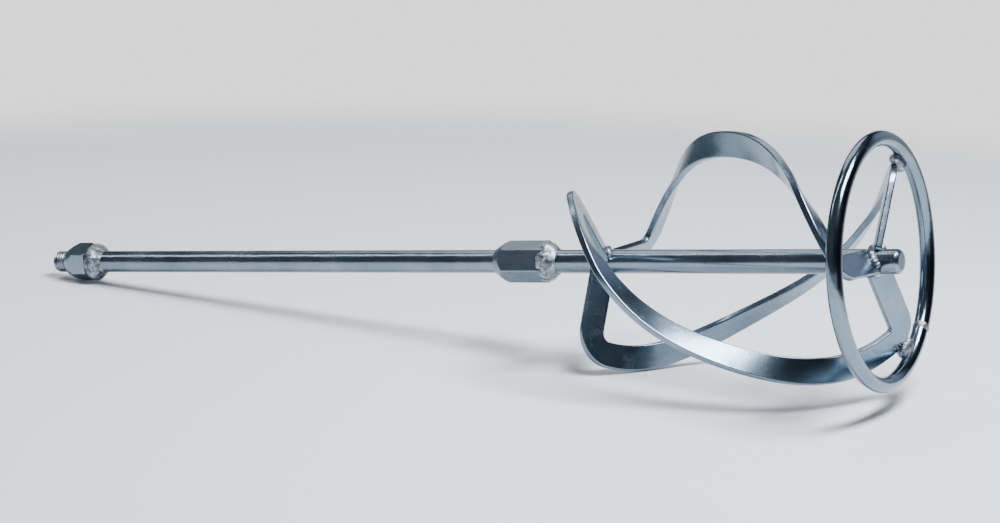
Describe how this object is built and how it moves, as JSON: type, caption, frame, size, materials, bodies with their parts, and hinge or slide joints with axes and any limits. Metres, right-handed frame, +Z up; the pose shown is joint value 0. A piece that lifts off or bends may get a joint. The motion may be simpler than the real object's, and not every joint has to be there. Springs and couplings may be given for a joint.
{
  "type": "mortar mixing paddle",
  "caption": "Two-piece steel mixing paddle: threaded drive shaft, hexagon coupling, twisted flat-bar blades and a round-wire guard ring, for mixing mortar.",
  "frame": {"origin": "centre of the drive stud's shoulder face, on the shaft's axis", "axes": "+X along the shaft from the drive end to the guard ring, +Z up with the paddle lying down"},
  "size_m": [0.598, 0.1444, 0.1468],
  "materials": {
    "zinc_plated_steel": "bright zinc plated",
    "machined_steel": "turned and zinc plated",
    "weld_metal": "plated over as-welded beads"
  },
  "bodies": {
    "basket": {"lower_shaft": "zinc_plated_steel", "coupling": "zinc_plated_steel", "coupling_weld": "weld_metal", "blade_a": "zinc_plated_steel", "blade_b": "zinc_plated_steel", "blade_c": "zinc_plated_steel", "top_weld_a": "weld_metal", "top_weld_b": "weld_metal", "top_weld_c": "weld_metal", "foot_weld_a": "weld_metal", "foot_weld_b": "weld_metal", "foot_weld_c": "weld_metal", "ring": "zinc_plated_steel", "ring_seam": "weld_metal", "ring_weld_a": "weld_metal", "ring_weld_b": "weld_metal", "ring_weld_c": "weld_metal"},
    "thread_end": {"upper_thread": "machined_steel"},
    "drive_half": {"upper_shaft": "zinc_plated_steel", "drive_collar": "machined_steel", "drive_weld": "weld_metal", "drive_stud": "machined_steel"}
  },
  "joints": [
    {"name": "thread_travel", "type": "slide", "parent": "basket", "child": "thread_end", "axis": [-1, 0, 0], "range_m": [0, 0.02]},
    {"name": "shaft_turn", "type": "hinge", "parent": "thread_end", "child": "drive_half", "pos_m": [0.2, 0, 0], "axis": [-1, 0, 0], "range_deg": [0, 3600]}
  ],
  "couplings": [
    {"joint": "shaft_turn", "follows": "thread_travel", "rad_per_m": 3141.6}
  ]
}
